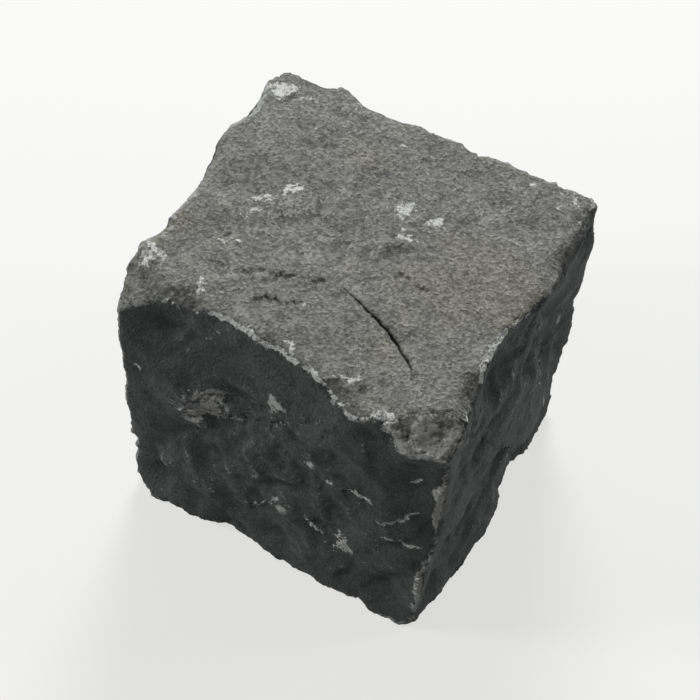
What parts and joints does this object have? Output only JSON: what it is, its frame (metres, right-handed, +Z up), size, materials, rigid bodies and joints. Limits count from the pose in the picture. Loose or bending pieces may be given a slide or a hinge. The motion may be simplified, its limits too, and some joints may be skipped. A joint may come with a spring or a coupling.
{
  "type": "basalt cobblestone",
  "caption": "Hand-split cubic basalt cobblestone with a riven wearing face, tapering joint faces, spalled corners and a flat bed, for paving.",
  "frame": {"origin": "middle of the stone's plan, on the level of its bed", "axes": "+Z up out of the wearing face, -Y out of the front joint face, +X out of the right joint face"},
  "size_m": [0.1048, 0.0996, 0.0889],
  "materials": {
    "riven_basalt": "riven, matt and granular"
  },
  "bodies": {
    "root": {"cobblestone": "riven_basalt"}
  },
  "joints": []
}
